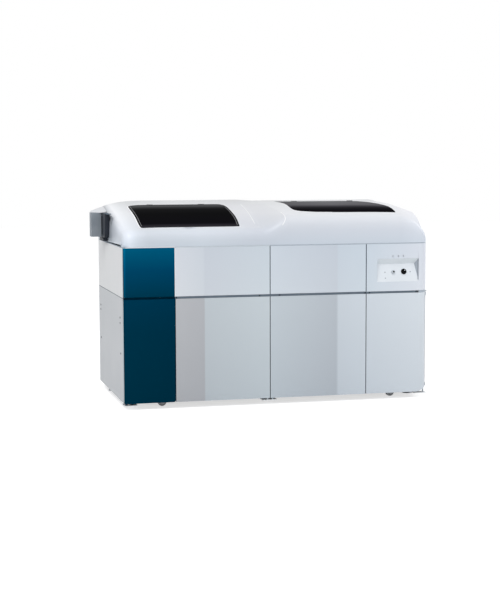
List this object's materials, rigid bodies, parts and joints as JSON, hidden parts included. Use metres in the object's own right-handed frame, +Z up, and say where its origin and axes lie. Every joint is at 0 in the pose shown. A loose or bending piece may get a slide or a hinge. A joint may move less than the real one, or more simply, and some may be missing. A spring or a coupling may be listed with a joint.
{
  "type": "chemistry analyzer",
  "caption": "Floor-standing chemistry analyzer: cabinet with panels and doors, domed hinged cover with tinted lids, trays, probe arms, feet and casters.",
  "frame": {"origin": "on the floor, under the middle of the bounding box", "axes": "+X to the viewer's right along the front, +Y to the rear, +Z up"},
  "size_m": [1.741, 0.86, 1.0594],
  "materials": {
    "frame_paint": "semi-matt",
    "deck_steel": "brushed",
    "white_paint": "satin",
    "blue_paint": "gloss",
    "silver_paint": "satin",
    "white_shell": "satin",
    "tinted_window": "gloss",
    "grey_plastic": "matt",
    "dark_plastic": "satin",
    "strut_paint": "satin",
    "bright_rod": "polished",
    "arm_plastic": "satin",
    "tray_plastic": "satin",
    "bottle_plastic": "satin",
    "supply_case": "satin",
    "foot_steel": "plated",
    "wheel_rubber": "matt"
  },
  "bodies": {
    "cabinet": {"base_ring": "frame_paint", "floor_plate": "frame_paint", "front_frame": "frame_paint", "rear_frame": "frame_paint", "top_ring": "frame_paint", "deck_plate": "deck_steel", "left_side_lower_panel": "white_paint", "right_side_lower_panel": "white_paint", "left_side_upper_panel": "white_paint", "right_side_upper_panel": "white_paint", "rear_lower_panel": "white_paint", "rear_upper_panel": "white_paint", "blue_upper_panel": "blue_paint", "left_upper_panel": "silver_paint", "right_upper_panel": "silver_paint", "control_panel": "silver_paint", "rear_hood": "white_shell", "wash_cup_1": "arm_plastic", "wash_cup_2": "arm_plastic", "detergent_bottle": "bottle_plastic", "waste_tank": "bottle_plastic", "power_supply": "supply_case", "syringe_pump_block": "supply_case", "ion_module": "arm_plastic", "cuvette_washer": "arm_plastic", "levelling_foot_1": "foot_steel", "levelling_foot_2": "foot_steel", "levelling_foot_3": "foot_steel", "levelling_foot_4": "foot_steel"},
    "cover": {"top_cover": "white_shell", "port_canopy": "white_shell", "sampling_port_shroud": "grey_plastic", "sampling_port_throat": "dark_plastic"},
    "left_lid": {"left_window_lid": "tinted_window"},
    "right_lid": {"right_window_lid": "tinted_window"},
    "blue_door": {"blue_door": "blue_paint"},
    "left_door": {"left_door": "silver_paint"},
    "right_door": {"right_door": "silver_paint"},
    "end_door": {"end_door": "silver_paint"},
    "left_strut_body": {"left_strut_body": "strut_paint"},
    "left_strut_rod": {"left_strut_rod": "bright_rod"},
    "right_strut_body": {"right_strut_body": "strut_paint"},
    "right_strut_rod": {"right_strut_rod": "bright_rod"},
    "sample_tray": {"sample_tray": "tray_plastic"},
    "reaction_tray": {"reaction_tray": "tray_plastic"},
    "reagent_tray": {"reagent_tray": "tray_plastic"},
    "sample_post": {"sample_arm_post": "bright_rod"},
    "sample_arm": {"sample_arm": "arm_plastic"},
    "reagent_post": {"reagent_arm_post": "bright_rod"},
    "reagent_arm": {"reagent_arm": "arm_plastic"},
    "power_button": {"power_button": "dark_plastic"},
    "operate_button": {"operate_button": "grey_plastic"},
    "caster_1_swivel": {"caster_fork_1": "foot_steel"},
    "caster_1_wheel": {"caster_wheel_1": "wheel_rubber"},
    "caster_2_swivel": {"caster_fork_2": "foot_steel"},
    "caster_2_wheel": {"caster_wheel_2": "wheel_rubber"},
    "caster_3_swivel": {"caster_fork_3": "foot_steel"},
    "caster_3_wheel": {"caster_wheel_3": "wheel_rubber"},
    "caster_4_swivel": {"caster_fork_4": "foot_steel"},
    "caster_4_wheel": {"caster_wheel_4": "wheel_rubber"}
  },
  "joints": [
    {"name": "cover_hinge", "type": "hinge", "parent": "cabinet", "child": "cover", "pos_m": [0.0405, 0.266, 1.0466], "axis": [-1, 0, 0], "range_deg": [0, 50]},
    {"name": "left_lid_hinge", "type": "hinge", "parent": "cover", "child": "left_lid", "pos_m": [-0.402, 0.1198, 1.0392], "axis": [-1, 0, 0], "range_deg": [0, 60]},
    {"name": "right_lid_hinge", "type": "hinge", "parent": "cover", "child": "right_lid", "pos_m": [0.457, 0.1678, 1.04874], "axis": [-1, 0, 0], "range_deg": [0, 60]},
    {"name": "blue_door_hinge", "type": "hinge", "parent": "cabinet", "child": "blue_door", "pos_m": [-0.7795, -0.421, 0.3], "axis": [0, 0, -1], "range_deg": [0, 88]},
    {"name": "left_door_hinge", "type": "hinge", "parent": "cabinet", "child": "left_door", "pos_m": [-0.028, -0.423, 0.3], "axis": [0, 0, 1], "range_deg": [0, 88]},
    {"name": "right_door_hinge", "type": "hinge", "parent": "cabinet", "child": "right_door", "pos_m": [0, -0.423, 0.3], "axis": [0, 0, -1], "range_deg": [0, 88]},
    {"name": "end_door_hinge", "type": "hinge", "parent": "cabinet", "child": "end_door", "pos_m": [0.8585, -0.378, 0.3], "axis": [0, 0, 1], "range_deg": [0, 88]},
    {"name": "left_strut_pivot", "type": "hinge", "parent": "cabinet", "child": "left_strut_body", "pos_m": [-0.7435, 0.17, 0.862], "axis": [-1, 0, 0], "range_deg": [0, 47.93]},
    {"name": "left_strut_extension", "type": "slide", "parent": "left_strut_body", "child": "left_strut_rod", "axis": [0, -0.9876, 0.1573], "range_m": [0, 0.1762]},
    {"name": "right_strut_pivot", "type": "hinge", "parent": "cabinet", "child": "right_strut_body", "pos_m": [0.8245, 0.17, 0.862], "axis": [-1, 0, 0], "range_deg": [0, 47.93]},
    {"name": "right_strut_extension", "type": "slide", "parent": "right_strut_body", "child": "right_strut_rod", "axis": [0, -0.9876, 0.1573], "range_m": [0, 0.1762]},
    {"name": "sample_tray_spin", "type": "hinge", "parent": "cabinet", "child": "sample_tray", "pos_m": [-0.5195, -0.12, 0.84], "axis": [0, 0, 1], "continuous": true},
    {"name": "reaction_tray_spin", "type": "hinge", "parent": "cabinet", "child": "reaction_tray", "pos_m": [-0.1495, -0.09, 0.84], "axis": [0, 0, 1], "continuous": true},
    {"name": "reagent_tray_spin", "type": "hinge", "parent": "cabinet", "child": "reagent_tray", "pos_m": [0.2405, -0.09, 0.84], "axis": [0, 0, 1], "continuous": true},
    {"name": "sample_arm_lift", "type": "slide", "parent": "cabinet", "child": "sample_post", "axis": [0, 0, -1], "range_m": [0, 0.036]},
    {"name": "sample_arm_swing", "type": "hinge", "parent": "sample_post", "child": "sample_arm", "pos_m": [-0.3495, 0.09, 0.9], "axis": [0, 0, 1], "range_deg": [-23.3, 22.05]},
    {"name": "reagent_arm_lift", "type": "slide", "parent": "cabinet", "child": "reagent_post", "axis": [0, 0, -1], "range_m": [0, 0.036]},
    {"name": "reagent_arm_swing", "type": "hinge", "parent": "reagent_post", "child": "reagent_arm", "pos_m": [0.0505, 0.13, 0.9], "axis": [0, 0, -1], "range_deg": [-35.1, 24.2]},
    {"name": "power_button_press", "type": "slide", "parent": "cabinet", "child": "power_button", "axis": [0, 0.9795, -0.2013], "range_m": [0, 0.003], "stiffness_N_per_m": 700},
    {"name": "operate_button_press", "type": "slide", "parent": "cabinet", "child": "operate_button", "axis": [0, 0.9795, -0.2013], "range_m": [0, 0.003], "stiffness_N_per_m": 700},
    {"name": "caster_1_swivel_turn", "type": "hinge", "parent": "cabinet", "child": "caster_1_swivel", "pos_m": [-0.5895, -0.33, 0.06], "axis": [0, 0, 1], "continuous": true},
    {"name": "caster_1_wheel_roll", "type": "hinge", "parent": "caster_1_swivel", "child": "caster_1_wheel", "pos_m": [-0.5755, -0.33, 0.025], "axis": [0, 1, 0], "continuous": true},
    {"name": "caster_2_swivel_turn", "type": "hinge", "parent": "cabinet", "child": "caster_2_swivel", "pos_m": [0.6705, -0.33, 0.06], "axis": [0, 0, 1], "continuous": true},
    {"name": "caster_2_wheel_roll", "type": "hinge", "parent": "caster_2_swivel", "child": "caster_2_wheel", "pos_m": [0.6845, -0.33, 0.025], "axis": [0, 1, 0], "continuous": true},
    {"name": "caster_3_swivel_turn", "type": "hinge", "parent": "cabinet", "child": "caster_3_swivel", "pos_m": [-0.5895, 0.37, 0.06], "axis": [0, 0, 1], "continuous": true},
    {"name": "caster_3_wheel_roll", "type": "hinge", "parent": "caster_3_swivel", "child": "caster_3_wheel", "pos_m": [-0.5755, 0.37, 0.025], "axis": [0, 1, 0], "continuous": true},
    {"name": "caster_4_swivel_turn", "type": "hinge", "parent": "cabinet", "child": "caster_4_swivel", "pos_m": [0.6705, 0.37, 0.06], "axis": [0, 0, 1], "continuous": true},
    {"name": "caster_4_wheel_roll", "type": "hinge", "parent": "caster_4_swivel", "child": "caster_4_wheel", "pos_m": [0.6845, 0.37, 0.025], "axis": [0, 1, 0], "continuous": true}
  ],
  "couplings": [
    {"joint": "left_strut_pivot", "follows": "cover_hinge", "ratio": 0.94856},
    {"joint": "left_strut_extension", "follows": "cover_hinge", "m_per_rad": 0.20072},
    {"joint": "right_strut_pivot", "follows": "cover_hinge", "ratio": 0.94856},
    {"joint": "right_strut_extension", "follows": "cover_hinge", "m_per_rad": 0.20072}
  ]
}
